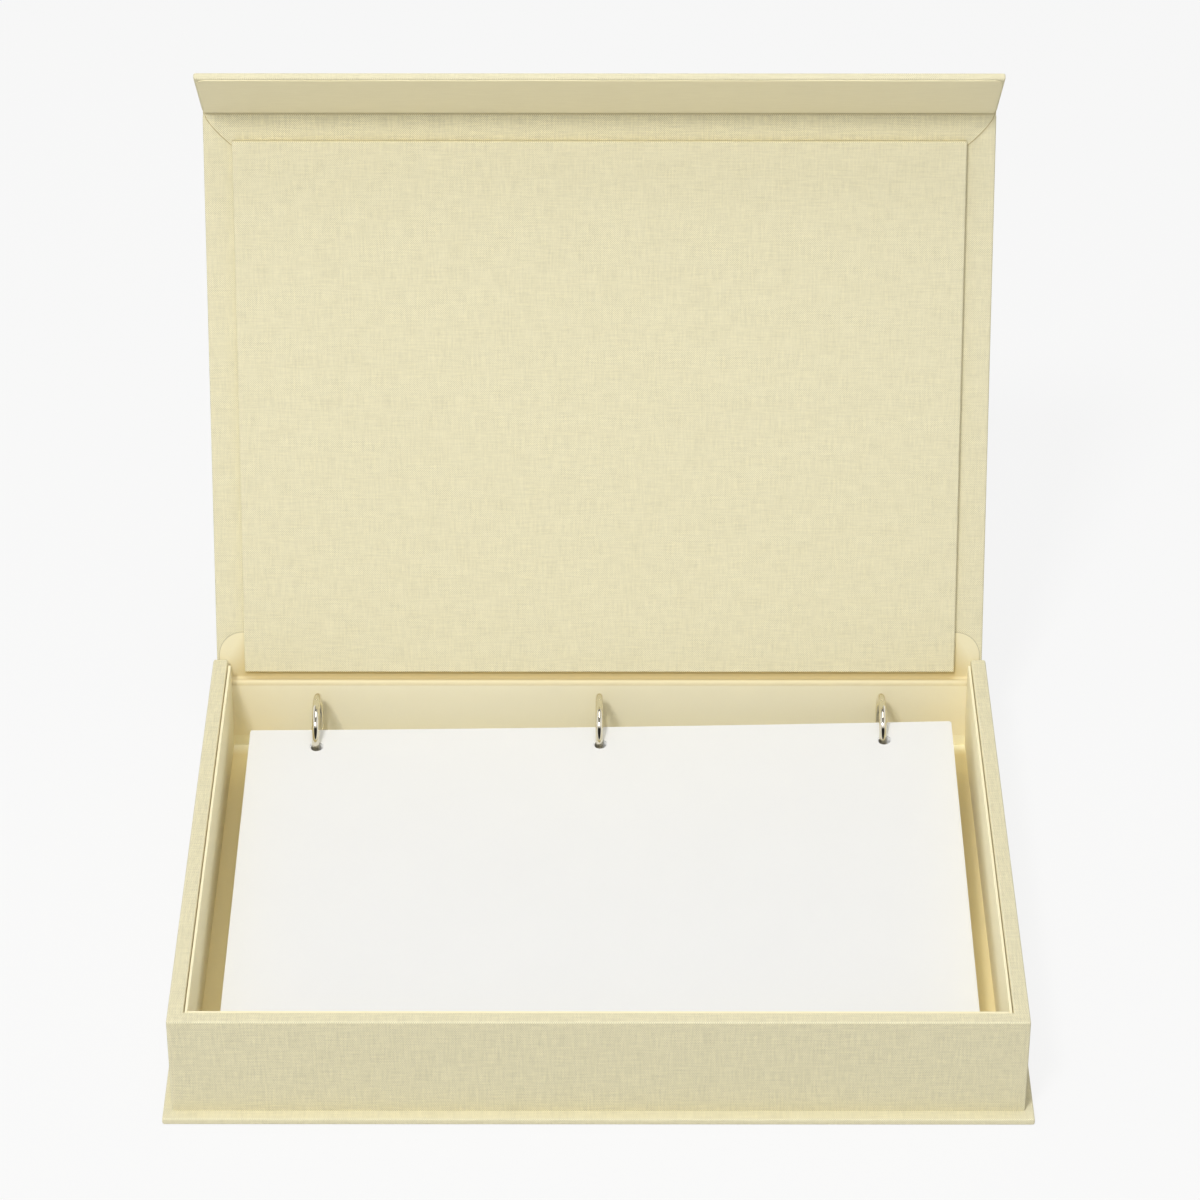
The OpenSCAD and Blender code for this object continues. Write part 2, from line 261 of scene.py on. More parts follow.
def sheet_between(name, low, high, z):
    """A flat sheet, facing up, between two corners given in millimetres."""
    put_down()
    middle = ((low[0] + high[0]) / 2 * MM, (low[1] + high[1]) / 2 * MM, z * MM)
    size = ((high[0] - low[0]) * MM, (high[1] - low[1]) * MM, 1)
    bpy.ops.mesh.primitive_plane_add(size=1, location=middle)
    bpy.context.active_object.scale = size
    return new_piece(name)


# %% Rounded edges, a turn about a line and a move


def round_chosen(piece, width, steps=3):
    """Rounds the chosen edges and marks the new faces as rubbed."""
    bpy.ops.mesh.bevel(offset=width * MM, segments=steps, affect="EDGES")
    mesh = bmesh.from_edit_mesh(piece.data)
    rubbed = mesh.faces.layers.float.get("rubbed")
    if rubbed is None:
        rubbed = mesh.faces.layers.float.new("rubbed")
        mesh = bmesh.from_edit_mesh(piece.data)
    for face in mesh.faces:
        if face.select:
            face[rubbed] = 1
    bmesh.update_edit_mesh(piece.data)
    put_down()


def turn(piece, angle, y, z):
    """Turns all of a piece about a line along X, from +Y towards +Z."""
    pick_up(piece)
    bpy.ops.object.mode_set(mode="EDIT")
    bpy.ops.mesh.select_all(action="SELECT")
    centre = (0, y * MM, z * MM)
    bpy.ops.transform.rotate(value=-math.radians(angle), orient_axis="X", center_override=centre)
    put_down()


def swing_open(piece):
    """Swings a piece of the shut lid to where the open lid stands."""
    turn(piece, -LID_TURN, HINGE[0], HINGE[1])


def move(piece, x, y, z):
    """Moves a piece by so many millimetres, and its place goes into its mesh."""
    pick_up(piece)
    piece.location = (x * MM, y * MM, z * MM)
    bpy.ops.object.transform_apply(location=True, rotation=False, scale=False)


def use(piece, kind, name, **settings):
    """Adds a modifier, sets it and applies it."""
    pick_up(piece)
    tool = piece.modifiers.new(name, kind)
    for key, value in settings.items():
        setattr(tool, key, value)
    bpy.ops.object.modifier_apply(modifier=tool.name)


# %% [markdown]
# ## Thread directions and smoothness
#
# A weave has to run square to each board, so the cloth pieces get a map of their own: each
# face is laid flat from the side that it faces most, at its true size, so one unit on the
# map is one metre of cloth. This is done while the piece still lies square. Smooth shading
# takes away the facets of the rounded edges, and weighted normals keep the big faces flat.

# %% Laying the cloth's map and smoothing a piece


def lay_threads(piece):
    """Maps every face from the side that it faces most, one unit to the metre."""
    pick_up(piece)
    bpy.ops.object.mode_set(mode="EDIT")
    bpy.ops.mesh.select_all(action="SELECT")
    bpy.ops.uv.cube_project(cube_size=1, correct_aspect=False)
    put_down()


def smooth(piece):
    """Smooths the small facets and keeps the large faces flat."""
    pick_up(piece)
    bpy.ops.object.shade_smooth_by_angle(angle=SHARP)
    use(piece, "WEIGHTED_NORMAL", "flat faces", keep_sharp=True, weight=80)


def report(piece):
    """Says how large a piece is, in millimetres."""
    size = [round(x / MM, 1) for x in piece.dimensions]
    print(piece.name, size, len(piece.data.polygons), "faces")


# %% [markdown]
# ## A board in its cover
#
# A cover is one sheet of cloth glued round a board and turned in over its edges, so one side
# shows a window of bare board, which the next layer then hides. It could be one solid block,
# but the real order gives real edges: round a block, cut the window, and thicken the skin
# inwards by the cloth's thickness, so the greyboard has its place inside.

# %% Making a cover with a window on one side


def cover(name, low, high, window, turned_in):
    """Cloth round a board; window is the normal of the side that stays open."""
    piece = block(name, low, high)
    choose_sharp(piece, anywhere)
    round_chosen(piece, ROUND)
    choose_faces(piece, lambda middle, normal: normal.dot(window) > 0.999)
    bpy.ops.mesh.inset(thickness=turned_in * MM)
    bpy.ops.mesh.delete(type="FACE")
    lay_threads(piece)
    use(piece, "SOLIDIFY", "cloth", thickness=CLOTH_T * MM, offset=-1, use_even_offset=True)
    return piece


# %% The base board's cover
base_cover = cover("base_cover", (-168.5, -125, 0), (168.5, 125, BASE_T), (0, 0, 1), 14)
smooth(base_cover)
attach(base_cover, "tray")
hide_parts("base_cloth")
report(base_cover)

# %% [markdown]
# ## The walls' cover
#
# One strip of cloth goes round the outside of the front and side walls, over the rim and down
# inside. Seen from above it is a U. It starts as the front wall alone. Two cuts mark where
# the side walls join it, and these two ends are pulled back to the hinge. The rear ends get
# their large round corner first and the small rounding of the cloth after it.

# %% The front wall, with the side walls pulled out of its back
INNER_HALF = HALF_W - WALL_T
INNER_FRONT = FRONT_Y + WALL_T
wall_cover = block("wall_cover", (-HALF_W, FRONT_Y, BASE_T), (HALF_W, INNER_FRONT, RIM_Z))
for side in (-1, 1):
    cut_across(wall_cover, (side * INNER_HALF, 0, 0), (1, 0, 0))
choose_faces(wall_cover, lambda m, n: n.y > 0.9 and abs(m.x) > INNER_HALF)
pull = {"value": (0, (REAR_Y - INNER_FRONT) * MM, 0)}
bpy.ops.mesh.extrude_region_move(TRANSFORM_OT_translate=pull)
choose_faces(wall_cover, lambda m, n: n.z < -0.9)
bpy.ops.mesh.delete(type="FACE")
put_down()
report(wall_cover)

# %% Rounding the rear ends, the rim and the corners
REAR_ROUND = 3.5


def at_rear_top(a, b):
    """Holds for the top edge of a side wall's rear end."""
    return min(a.y, b.y) > REAR_Y - 0.01 and min(a.z, b.z) > RIM_Z - 0.01


choose_edges(wall_cover, at_rear_top)
round_chosen(wall_cover, REAR_ROUND, 8)
choose_sharp(wall_cover, anywhere)
round_chosen(wall_cover, ROUND)
lay_threads(wall_cover)
use(wall_cover, "SOLIDIFY", "cloth", thickness=CLOTH_T * MM, offset=-1, use_even_offset=True)
smooth(wall_cover)
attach(wall_cover, "tray")
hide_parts("wall_cloth")
report(wall_cover)

# %% [markdown]
# ## The linings
#
# Inside, the walls are lined with thin card in a smoother paper-like cloth. The cards are a
# hair lower than the rim and stand a hair away from the walls, which draws the thin dark
# line all round the tray. Each is a block whose edges are rounded, a little more along the
# top, where the paper goes over the card. The side cards bow a little towards the walls at
# the foot, so cuts along their upright edges give them points to bow with.

# %% Three lining cards
LINING_T = 1.4
CRACK = 0.1
FLOOR_Z = 4.6
LINING_TOP = 46.4
LINING_FACE = INNER_HALF - CRACK - LINING_T
SIDE_GAP = 0.34
FOOT_OUT = 0.6


def lining_card(name, low, high, node, foot_out):
    """A lining card with soft edges; foot_out is how far its foot draws towards the wall."""
    piece = block(name, low, high)
    choose_edges(piece, lambda a, b: abs(a.z - b.z) > 1)
    bpy.ops.mesh.subdivide(number_cuts=15)
    put_down()
    for point in piece.data.vertices:
        down = (LINING_TOP - point.co.z / MM) / (LINING_TOP - FLOOR_Z)
        if abs(point.co.x) < (LINING_FACE + 0.1) * MM:
            point.co.x += math.copysign(foot_out * max(0, down) ** 3 * MM, point.co.x)
    choose_sharp(piece, lambda a, b: min(a.z, b.z) > LINING_TOP - 0.01)
    round_chosen(piece, 0.3, 3)
    choose_sharp(piece, anywhere)
    round_chosen(piece, 0.1, 2)
    lay_threads(piece)
    smooth(piece)
    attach(piece, "tray")
    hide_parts(node)
    report(piece)
    return piece


front_y = INNER_FRONT + CRACK
rear_y = REAR_INNER - CRACK
outer_x = INNER_HALF - SIDE_GAP
front_low = (-LINING_FACE, front_y, FLOOR_Z)
front_high = (LINING_FACE, front_y + LINING_T, LINING_TOP)
front_card = lining_card("front_lining_card", front_low, front_high, "front_lining", 0)
side_low = (-outer_x, front_y, FLOOR_Z)
side_high = (-LINING_FACE, rear_y, LINING_TOP)
left_card = lining_card("left_lining_card", side_low, side_high, "left_lining", FOOT_OUT)
side_low = (LINING_FACE, front_y, FLOOR_Z)
side_high = (outer_x, rear_y, LINING_TOP)
right_card = lining_card("right_lining_card", side_low, side_high, "right_lining", FOOT_OUT)

# %% [markdown]
# ## Cloth that bends
#
# The lid hangs on two layers: the lining inside and the cover cloth outside, which runs on
# from the spine. Both are strips pulled along a curve. The start is one edge of a sheet,
# laid across the box, and it is extruded from point to point, as a strip of cloth is drawn
# off a roll. A thickness is added at the end. The curve is the one that two short straight
# handles give, so the cloth leaves each board in the board's own direction.
#
# The lining has to reach round the crease when the lid is shut. With the lid open it is
# longer than its gap, so it stands up in a small loop and then dips into the crease. Painted
# shade is written on the sheet's points for the material to read. It is dark in the groove,
# lighter on the crest of the loop, and darkest under the panel.

# %% Curves and strips


def on_curve(a, b, c, d, t):
    """A point on the curve from a to d, with b and c as its handles."""
    weights = ((1 - t) ** 3, 3 * t * (1 - t) ** 2, 3 * t * t * (1 - t), t ** 3)
    y = sum(w * p[0] for w, p in zip(weights, (a, b, c, d)))
    z = sum(w * p[1] for w, p in zip(weights, (a, b, c, d)))
    return (y, z)


def curve(a, b, c, d, steps=14):
    """Points on such a curve, both ends included."""
    return [on_curve(a, b, c, d, i / steps) for i in range(steps + 1)]


def strip(name, path, half_width, thick, side=1, even=True):
    """A strip of cloth pulled along a path of (y, z) points; a sharp fold isn't even."""
    piece = sheet_between(name, (-half_width, -1), (half_width, 0), 0)
    for corner in edit(piece, "VERT").verts:
        corner.select_set(corner.co.y < -0.5 * MM)
    bpy.ops.mesh.delete(type="VERT")
    bpy.ops.mesh.select_mode(type="EDGE")
    bpy.ops.mesh.select_all(action="SELECT")
    to_start = (0, path[0][0] * MM, path[0][1] * MM)
    bpy.ops.transform.translate(value=to_start)
    for a, b in zip(path, path[1:]):
        step = {"value": (0, (b[0] - a[0]) * MM, (b[1] - a[1]) * MM)}
        bpy.ops.mesh.extrude_region_move(TRANSFORM_OT_translate=step)
    put_down()
    lay_threads(piece)
    use(piece, "SOLIDIFY", "cloth", thickness=thick * MM, offset=side, use_even_offset=even)
    pick_up(piece)
    bpy.ops.object.shade_smooth_by_angle(angle=SHARP)
    return piece


# %% The hinge lining: up the rear wall and over the crease to the lid
SEAM = 0.02
DARK_WITHIN = 0.9
DARK_FROM = 5 - PANEL_HALF
DARK_TO = PANEL_HALF - 2
CREST_SHADE = 0.56
rear_wall = [(REAR_INNER, z) for z in (9.6, 14, 20, 26, 31, 34, REAR_TOP)]
lid_edge = lid_at(LID_REAR + SEAM, LID_FACE - CLOTH_T)
loop_start = (REAR_INNER, REAR_TOP + SEAM)
loop_top = (REAR_INNER + 1.3, REAR_TOP + 2.2)
groove = (lid_edge[0] - 0.9, lid_edge[1] - 0.85)
up = curve(loop_start, (REAR_INNER, REAR_TOP + 1.5), (REAR_INNER + 0.3, loop_top[1]), loop_top, 7)
down = curve(loop_top, (loop_top[0] + 1.1, loop_top[1]), (groove[0] - 1.2, groove[1]), groove, 8)
into_lid = curve(groove, (groove[0] + 0.5, groove[1]), (lid_edge[0], lid_edge[1] - 0.3),
                 lid_edge, 4)
crease = up + down[1:] + into_lid[1:]
hinge_sheet = strip("hinge_lining_sheet", rear_wall + crease, INNER_HALF - CRACK, CLOTH_T, -1)
for x in (-PANEL_HALF - 3, DARK_FROM, DARK_TO, PANEL_HALF + 5):
    cut_across(hinge_sheet, (x, 0, 0), (1, 0, 0))
put_down()
# Painted shade: each point carries how much the lining is darkened, in the groove of the crease,
# on the crest of its loop and most under the panel.
shade = hinge_sheet.data.attributes.new("crease", "FLOAT", "POINT")
for point in hinge_sheet.data.vertices:
    y = point.co.y / MM
    crease_shade_amount = min(1, max(0, (y - loop_top[0]) / DARK_WITHIN))
    if point.co.z / MM > REAR_TOP + 0.2:
        crease_shade_amount = max(crease_shade_amount, CREST_SHADE)
    under_panel = DARK_FROM - 0.1 < point.co.x / MM < DARK_TO + 0.1
    shade.data[point.index].value = crease_shade_amount if under_panel else min(crease_shade_amount, CREST_SHADE)
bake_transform(hinge_sheet)
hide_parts("rear_strip", "lid_hinge_lining")
report(hinge_sheet)

# %% The spine and the outer hinge: one cloth from the foot of the spine to the lid
spine = [(REAR_Y, z) for z in (BASE_T, 8, 14, 20, 26, 31)]
lid_edge = lid_at(LID_REAR + SEAM, LID_FACE + LID_T)
before_lid = lid_at(LID_REAR + 1, LID_FACE + LID_T)
bend_start = (REAR_Y, REAR_TOP - CLOTH_T)
bend = curve(bend_start, (REAR_Y + 0.3, REAR_TOP + 0.4), before_lid, lid_edge)
spine_sheet = strip("spine_and_hinge_cloth", spine + bend, INNER_HALF, CLOTH_T, -1)
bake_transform(spine_sheet)
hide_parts("spine_cloth", "lid_hinge_cloth")
report(spine_sheet)

# %% [markdown]
# ## The lid
#
# The lid is a board in its cover, like the base. Its window is on the inner side and is
# hidden by a raised panel, a second board in cloth that fits inside the tray when the lid is
# shut. Both are made lying shut and square, and swung open last.

# %% The lid's cover and the panel's cover
lid_low = (-LID_HALF, FLAP_Y + 1, LID_FACE)
lid_high = (LID_HALF, LID_REAR, LID_FACE + LID_T)
lid_cover = cover("lid_cover", lid_low, lid_high, (0, 0, -1), 14)
swing_open(lid_cover)
smooth(lid_cover)
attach(lid_cover, "lid")
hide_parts("lid_cloth")
report(lid_cover)

panel_low = (-PANEL_HALF, PANEL_FRONT, LID_FACE - 3)
panel_high = (PANEL_HALF, PANEL_REAR, LID_FACE)
panel_cover = cover("panel_cover", panel_low, panel_high, (0, 0, 1), 12)
swing_open(panel_cover)
smooth(panel_cover)
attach(panel_cover, "lid")
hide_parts("panel_cloth")
report(panel_cover)

# %% [markdown]
# ## Strips on the lid's inner face
#
# At the crease the hinge lining goes on under the panel and ends beside it in two rounded
# corners. At the other end, the cloth of the flap's fold is glued to the lid and cut off
# slanting. Both are flat sheets: the corners of the first are rounded where they stand, and
# the ends of the second are drawn in and bowed. What the panel hides is cut out. A narrow
# border along the open edges gets painted shade, a thin brown line that stands for the
# hairline shadow along the cloth's edge. The lining just below the panel gets painted shade
# too, for the panel's shadow.

# %% The hinge lining's end on the lid
CUT_BORDER = 0.3
UNDER_PANEL_SHADE = 0.85
END_REACH = 19.8
END_CORNER = 10.5


def cut_out_panel(piece):
    """Cuts a flat sheet on the lid along the panel and takes out what the panel hides."""
    cuts = (
        ((-PANEL_HALF, 0, 0), (1, 0, 0)),
        ((PANEL_HALF, 0, 0), (1, 0, 0)),
        ((0, PANEL_FRONT, 0), (0, 1, 0)),
        ((0, PANEL_REAR, 0), (0, 1, 0)),
    )
    for place, direction in cuts:
        cut_across(piece, place, direction)
    choose_faces(piece, lambda m, n: abs(m.x) < PANEL_HALF and PANEL_FRONT < m.y < PANEL_REAR)
    bpy.ops.mesh.delete(type="FACE")
    put_down()


def paint_edge_shade(piece, wanted):
    """Paints shade on a narrow border of a sheet, a thin dark line along its edge, where
    wanted(middle) holds.
    """
    choose_faces(piece, anywhere)
    bpy.ops.mesh.inset(thickness=CUT_BORDER * MM)
    bpy.ops.mesh.select_all(action="INVERT")
    mesh = bmesh.from_edit_mesh(piece.data)
    cut = mesh.faces.layers.float.new("cut")
    mesh = bmesh.from_edit_mesh(piece.data)
    for face in mesh.faces:
        if face.select and wanted(face.calc_center_median() / MM):
            face[cut] = 1
    bmesh.update_edit_mesh(piece.data)
    put_down()


far = LID_REAR - END_REACH
hinge_end = sheet_between("hinge_lining_end", (-STRIP_HALF, far), (STRIP_HALF, LID_REAR), LID_FACE)
choose_corners(hinge_end, lambda p: p.y < far + 0.01)
bpy.ops.mesh.bevel(offset=END_CORNER * MM, segments=10, affect="VERTICES")
cut_out_panel(hinge_end)
beside_panel = PANEL_HALF + CUT_BORDER
paint_edge_shade(hinge_end, lambda m: m.y < LID_REAR - CUT_BORDER and abs(m.x) > beside_panel)
# Painted shade: the lining just below the panel is darkened for the panel's shadow.
shade = hinge_end.data.attributes.new("crease", "FLOAT", "POINT")
for point in hinge_end.data.vertices:
    below = point.co.y / MM > PANEL_REAR - 0.1 and abs(point.co.x / MM) < PANEL_HALF + 0.5
    shade.data[point.index].value = UNDER_PANEL_SHADE if below else 0
lay_threads(hinge_end)
use(hinge_end, "SOLIDIFY", "cloth", thickness=CLOTH_T * MM, offset=-1)
swing_open(hinge_end)
smooth(hinge_end)
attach(hinge_end, "lid")
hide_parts("lid_strip")
report(hinge_end)

# %% The fold's cloth on the lid
BOW = 1.1
DRAWN_IN = 12
FOLD_REACH = 12.8
near = FLAP_Y + 1
far = near + 1 + FOLD_REACH
fold_end = sheet_between("fold_cloth_end", (-STRIP_HALF, near), (STRIP_HALF, far), LID_FACE)
choose_edges(fold_end, lambda a, b: abs(a.x - b.x) < 0.01)
bpy.ops.mesh.subdivide(number_cuts=8)
put_down()
for point in fold_end.data.vertices:
    way = max(0, point.co.y / MM - near - 1) / FOLD_REACH
    bow = 4 * BOW * way * (1 - way)
    if abs(point.co.x) > 0.1:
        half = STRIP_HALF - DRAWN_IN * way + bow
        point.co.x = math.copysign(half * MM, point.co.x)
cut_out_panel(fold_end)
paint_edge_shade(fold_end, lambda m: m.y > near + CUT_BORDER and (
    abs(m.x) > PANEL_HALF + 0.35 or (m.y < PANEL_FRONT - 0.35 and abs(m.x) > PANEL_HALF - 1)))
lay_threads(fold_end)
use(fold_end, "SOLIDIFY", "cloth", thickness=CLOTH_T * MM, offset=-1)
swing_open(fold_end)
smooth(fold_end)
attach(fold_end, "lid")
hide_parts("lid_front_strip")
report(fold_end)

# %% [markdown]
# ## The flap
#
# The flap is the narrow front of the lid. It is a board in its cover, too, with a thin card
# on the inside that has been cut by hand, so its free edge is not quite straight and its
# corners are rounded. Two bent strips join it to the lid: one inside the fold and one out.
# The inner one is pinched to a valley, which gets painted shade, the same brown as along open
# edges.
# The flap is built hanging down from the lid's front edge, folded in and swung open.

# %% The flap's cover
FLAP_L = 42
FLAP_T = 2.8


def fold_in(piece):
    """Folds a hanging piece in with the flap and swings it open with the lid."""
    turn(piece, -FLAP_TURN, FLAP_Y, LID_FACE)
    swing_open(piece)


flap_low = (-LID_HALF, FLAP_Y - FLAP_T, LID_FACE - FLAP_L)
flap_high = (LID_HALF, FLAP_Y, LID_FACE - 1)
flap_cover = cover("flap_cover", flap_low, flap_high, (0, 1, 0), 6)
fold_in(flap_cover)
smooth(flap_cover)
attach(flap_cover, "flap")
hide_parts("flap_cloth")
report(flap_cover)

# %% The flap's card, cut by hand
CARD_T = 0.45
CARD_CORNER = 4.5
card_low = (-STRIP_HALF, -FLAP_L + 0.6)
card_high = (STRIP_HALF, -1)
flap_card = sheet_between("flap_card", card_low, card_high, 0)
choose_corners(flap_card, lambda p: p.y < card_low[1] + 0.01)
bpy.ops.mesh.bevel(offset=CARD_CORNER * MM, segments=8, affect="VERTICES")
choose_edges(flap_card, lambda a, b: max(a.y, b.y) < card_low[1] + 0.01)
bpy.ops.mesh.subdivide(number_cuts=90)
put_down()
for point in flap_card.data.vertices:
    x = point.co.x / MM
    if point.co.y / MM < card_low[1] + 0.01:
        wave = 0.16 * math.sin(x / 23) + 0.12 * math.sin(x / 9.5 + 1) + 0.05 * math.sin(x / 3.1)
        point.co.y += (0.3 + wave) * MM
use(flap_card, "SOLIDIFY", "card", thickness=CARD_T * MM, offset=-1)
choose_sharp(flap_card, lambda a, b: max(a.z, b.z) < 0.01 - CARD_T)
round_chosen(flap_card, 0.12, 2)
turn(flap_card, 90, 0, 0)
move(flap_card, 0, FLAP_Y, LID_FACE)
lay_threads(flap_card)
fold_in(flap_card)
smooth(flap_card)
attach(flap_card, "flap")
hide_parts("flap_lining")
report(flap_card)

# %% The cloth inside and outside the fold
NIP = 0.62
FOLD_SHADE = 0.35
reach = 1 - SEAM
start = lid_at(FLAP_Y + reach, LID_FACE - CLOTH_T)
end = flap_at(CLOTH_T, -reach)
lid_brink = lid_at(FLAP_Y + 0.25, LID_FACE - CLOTH_T)
flap_brink = flap_at(CLOTH_T, -0.25)
middle = ((lid_brink[0] + flap_brink[0]) / 2, (lid_brink[1] + flap_brink[1]) / 2)
valley = (middle[0] + NIP, middle[1] - 0.1)
fold_path = [start, lid_brink, valley, flap_brink, end]
fold_inside = strip("fold_cloth_inside", fold_path, LID_HALF - 0.3, CLOTH_T, -1, even=False)
# Painted shade: the valley of the fold is darkened with the brown of the edge lines.
fold_shade = fold_inside.data.attributes.new("cut", "FLOAT", "FACE")
for face in fold_inside.data.polygons:
    from_middle = math.dist((face.center.y / MM, face.center.z / MM), middle)
    fold_shade.data[face.index].value = FOLD_SHADE if from_middle < NIP else 0
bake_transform(fold_inside)
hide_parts("flap_hinge_lining")
report(fold_inside)

start = lid_at(FLAP_Y + reach, LID_FACE + LID_T)
after_start = lid_at(FLAP_Y + reach - 1.8, LID_FACE + LID_T)
before_end = flap_at(-FLAP_T, 1.8 - reach)
end = flap_at(-FLAP_T, -reach)
fold_path = curve(start, after_start, before_end, end, 16)
fold_outside = strip("fold_cloth_outside", fold_path, LID_HALF, CLOTH_T, 1)
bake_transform(fold_outside)
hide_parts("flap_hinge_cloth")
report(fold_outside)

# %% [markdown]
# ## The rings
#
# A binder ring is two half hoops of round wire that meet in a small notch at the top, each
# riveted by a short peg to one of the two sprung blades under the metal cover. A hoop is a
# torus cut twice: at the top, where the halves part, and near the bottom, where the wire
# ends. One front half and one rear half are modelled, and copied to the other rings.

# %% Half a ring
RING_Y = 101.8
RING_Z = 25
RING_R = 14.25
WIRE_R = 1.6
SPLIT = 0.1
PEG_AT = 17
PEG_R = 1.2
PEG_FOOT = 9.8


def half_ring(name, side):
    """Half a ring in the middle of the box: side -1 is the front half, 1 the rear half."""
    put_down()
    bpy.ops.mesh.primitive_torus_add(
        major_radius=RING_R * MM, minor_radius=WIRE_R * MM, major_segments=120,
        minor_segments=28, location=(0, RING_Y * MM, RING_Z * MM),
        rotation=(0, math.radians(90), 0))
    piece = new_piece(name)
    split = (0, RING_Y + side * SPLIT, 0)
    cut_across(piece, split, (0, -side, 0), use_fill=True, clear_outer=True)
    a = math.radians(PEG_AT)
    down = (0, -side * math.cos(a), -math.sin(a))
    cut_across(piece, (0, RING_Y, RING_Z), down, use_fill=True, clear_outer=True)
    choose_sharp(piece, anywhere)
    round_chosen(piece, 0.22, 3)
    return piece


def peg(side):
    """The short peg that rivets a half ring to its blade."""
    a = math.radians(PEG_AT + 5)
    y = RING_Y + side * RING_R * math.sin(a)
    top = RING_Z - RING_R * math.cos(a)
    put_down()
    at = (0, y * MM, (PEG_FOOT + top) / 2 * MM)
    tall = (top - PEG_FOOT) * MM
    bpy.ops.mesh.primitive_cylinder_add(vertices=32, radius=PEG_R * MM, depth=tall, location=at)
    piece = new_piece("peg")
    choose_sharp(piece, anywhere)
    round_chosen(piece, 0.2, 2)
    return piece


# %% Six halves on two blades
RING_PLACES = {"left": -120, "middle": 0, "right": 120}


def join(pieces):
    """Joins pieces into the first of them."""
    put_down()
    for piece in pieces:
        piece.select_set(True)
    bpy.context.view_layer.objects.active = pieces[0]
    bpy.ops.object.join()


def copy_of(piece):
    """A copy of a piece, with a mesh of its own."""
    copy = piece.copy()
    copy.data = piece.data.copy()
    bpy.context.scene.collection.objects.link(copy)
    return copy


for side, word in ((-1, "front"), (1, "rear")):
    first = half_ring("half_ring_" + word, side)
    join([first, peg(side)])
    smooth(first)
    for place, x in RING_PLACES.items():
        half = copy_of(first)
        half.name = word + "_hoop_" + place
        half.data.name = half.name
        move(half, x, 0, 0)
        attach(half, word + "_jaw")
        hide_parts(word + "_ring_" + place)
        report(half)
    bpy.data.objects.remove(first)

# %% [markdown]
# ## The pages
#
# The pile is thick paper with three punched holes. One sheet is modelled, with its holes cut
# by round punches, and then laid again and again. Each copy is pushed back a little so that
# its holes stay on the rings, which fans the lower sheets out at the rear, and each lies a
# fraction of a millimetre off, as no pile is ever perfectly even. The pages in the
# photograph rise towards the rear right corner and hang at the rear left, so a few cuts
# across each sheet let it curl, the upper ones more than the lower. The top sheet is a
# piece of its own, because it can be lifted.

# %% One sheet with three punched holes
PAGE_HALF = 148.5
PAGE_D = 210
PAGE_REAR = 98.3
PAGE_TOP = 29.1
SLOPE = 2.87
PAGES_T = 13.9
HOLE_R = 3
HOLE_RING_R = 15.45
PAGE_ASIDE = 0.35
SHEET_T = 0.3


def hole_y(z):
    """Where the middle of a page's hole lies at a height on the rings."""
    return RING_Y - math.sqrt(HOLE_RING_R ** 2 - (z - RING_Z) ** 2)


def page(name, thick):
    """A flat sheet with its top face at PAGE_TOP, before it leans."""
    low = (-PAGE_HALF, PAGE_REAR - PAGE_D, PAGE_TOP - thick)
    high = (PAGE_HALF, PAGE_REAR, PAGE_TOP)
    sheet = block(name, low, high)
    from_rear = (PAGE_REAR - hole_y(PAGE_TOP - 0.6)) / math.cos(math.radians(SLOPE))
    for x in RING_PLACES.values():
        put_down()
        at = (x * MM, (PAGE_REAR - from_rear) * MM, PAGE_TOP * MM)
        bpy.ops.mesh.primitive_cylinder_add(vertices=32, radius=HOLE_R * MM, depth=4 * MM,
                                            location=at)
        punch = bpy.context.active_object
        use(sheet, "BOOLEAN", "punch", operation="DIFFERENCE", solver="EXACT", object=punch)
        bpy.data.objects.remove(punch)
    for i in range(-6, 7):
        cut_across(sheet, (i * 21 + 4, 0, 0), (1, 0, 0))
    for i in range(1, 5):
        cut_across(sheet, (0, PAGE_REAR - i * 42, 0), (0, 1, 0))
    put_down()
    turn(sheet, SLOPE, PAGE_REAR, PAGE_TOP)
    return sheet


def let_curl(sheet, amount):
    """Lifts the rear right corner of a sheet and lets the rear left corner hang."""
    for point in sheet.data.vertices:
        across = point.co.x / MM / PAGE_HALF
        back = min(1, max(0, 1 - (PAGE_REAR - point.co.y / MM) / PAGE_D))
        lift = (2.5 * across + 0.7 * across * across) * back ** 1.5
        point.co.z += lift * amount * MM


# %% The lifted sheet and the pile below it
top_sheet = page("top_sheet", SHEET_T)
let_curl(top_sheet, 1)
move(top_sheet, PAGE_ASIDE, 0, 0)
lay_threads(top_sheet)
smooth(top_sheet)
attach(top_sheet, "top_page")
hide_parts("top_page")
report(top_sheet)

chance = random.Random(7)
SHEETS = 32
pitch = (PAGES_T - SHEET_T - SEAM) / SHEETS
model_sheet = page("pile_sheet", pitch - 0.03)
pile = []
for i in range(SHEETS):
    depth = SHEET_T + SEAM + i * pitch
    back = hole_y(PAGE_TOP - 0.6 - depth) - hole_y(PAGE_TOP - 0.6)
    sheet = copy_of(model_sheet)
    aside = PAGE_ASIDE + (0.6 if i == 0 else chance.uniform(-0.45, 0.45))
    let_curl(sheet, (1 - i / SHEETS) ** 0.8)
    move(sheet, aside, back + chance.uniform(-0.12, 0.12), -depth)
    pile.append(sheet)
bpy.data.objects.remove(model_sheet)
join(pile)
page_pile = pile[0]
page_pile.name = "page_pile"
page_pile.data.name = "page_pile"
lay_threads(page_pile)
smooth(page_pile)
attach(page_pile, "tray")
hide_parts("page_stack")
report(page_pile)

# %% [markdown]
# ## Materials
#
# A material here is built from numbered patterns, never from a picture. Small helpers keep
# the node trees readable: one adds a node, one does sums, and one starts a material with its
# shader and the values that are the same all over. A material also reads the marks that a
# piece carries on its faces or points. These are rubbed edges, and painted shade along open
# edges, in the fold's valley, in the crease and under the lid's panel.

# %% Helpers for materials


